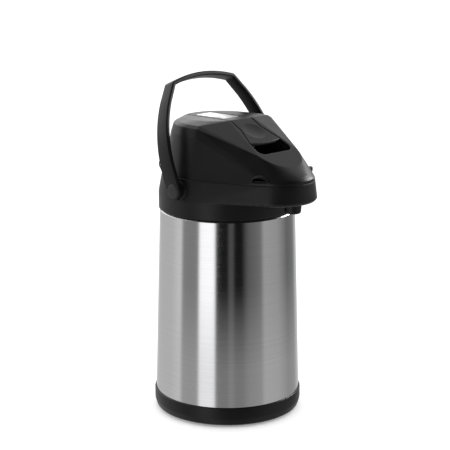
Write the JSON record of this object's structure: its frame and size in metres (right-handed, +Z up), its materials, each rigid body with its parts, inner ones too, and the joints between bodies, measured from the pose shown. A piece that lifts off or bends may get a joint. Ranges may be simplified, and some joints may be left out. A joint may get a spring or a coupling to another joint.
{
  "type": "lever pump airpot",
  "caption": "Vacuum-insulated coffee airpot with a tapered steel body, a hinged lid with a lever pump, a front spout and a swing handle.",
  "frame": {"origin": "centre of the base's underside, on the body's axis at floor level", "axes": "+Z up along the body's axis, +X forwards to the spout, +Y to the airpot's left"},
  "size_m": [0.2002, 0.1664, 0.3736],
  "materials": {
    "brushed_body": "fine horizontal brushing",
    "steel_parts": "satin",
    "name_plate": "satin, blank",
    "black_plastic": "fine satin texture",
    "dark_plastic": "matt",
    "silicone": "matt silicone",
    "foot_rubber": "matt"
  },
  "bodies": {
    "airpot": {"foot_pad": "foot_rubber", "base_cup": "black_plastic", "shell_bottom": "steel_parts", "vacuum_plug": "dark_plastic", "outer_shell": "brushed_body", "shell_shoulder": "steel_parts", "inner_flask": "steel_parts", "flask_bottom": "steel_parts", "flask_shoulder": "steel_parts", "collar": "black_plastic", "neck_nut": "dark_plastic", "neck_gasket": "silicone", "tube_holder": "dark_plastic", "siphon_tube": "steel_parts", "siphon_foot": "dark_plastic", "outlet_tube": "steel_parts", "spout_nozzle": "black_plastic", "spout_nut": "dark_plastic", "ball_cap": "dark_plastic", "handle_pin_left": "dark_plastic", "handle_pin_right": "dark_plastic", "hinge_pin": "steel_parts"},
    "tip_valve": {"tip_ball": "steel_parts"},
    "carry_handle": {"handle": "black_plastic", "handle_cap_left": "dark_plastic", "handle_cap_right": "dark_plastic"},
    "lid": {"lid_shell": "black_plastic", "lid_base": "dark_plastic", "lid_gasket": "silicone", "lid_screws": "steel_parts", "well_tray": "black_plastic", "lever_pin": "steel_parts", "bellows": "silicone", "bellows_spring": "steel_parts"},
    "pump_lever": {"lever": "black_plastic", "name_plate": "name_plate", "presser": "dark_plastic"},
    "pump_plate": {"push_plate": "dark_plastic", "intake_flap": "silicone"},
    "air_valve": {"outlet_valve": "silicone"}
  },
  "joints": [
    {"name": "handle_swing", "type": "hinge", "parent": "airpot", "child": "carry_handle", "pos_m": [0, 0, 0.257], "axis": [0, 1, 0], "range_deg": [-92, 60]},
    {"name": "lid_hinge", "type": "hinge", "parent": "airpot", "child": "lid", "pos_m": [-0.078, 0, 0.268], "axis": [0, -1, 0], "range_deg": [0, 18]},
    {"name": "lever_press", "type": "hinge", "parent": "lid", "child": "pump_lever", "pos_m": [-0.04, 0, 0.319], "axis": [0, 1, 0], "range_deg": [0, 12], "stiffness_Nm_per_rad": 1.5, "springref_deg": -8.59},
    {"name": "plate_drop", "type": "slide", "parent": "lid", "child": "pump_plate", "axis": [0, 0, -1], "range_m": [0, 0.0095], "deforming": ["bellows", "bellows_spring"]},
    {"name": "air_valve_drop", "type": "slide", "parent": "lid", "child": "air_valve", "axis": [0, 0, -1], "range_m": [0, 0.0014], "stiffness_N_per_m": 60, "springref_m": -0.002},
    {"name": "tip_ball_lift", "type": "slide", "parent": "airpot", "child": "tip_valve", "axis": [0, 0, 1], "range_m": [0, 0.0025]}
  ],
  "couplings": [
    {"joint": "plate_drop", "follows": "lever_press", "m_per_rad": 0.0445}
  ]
}
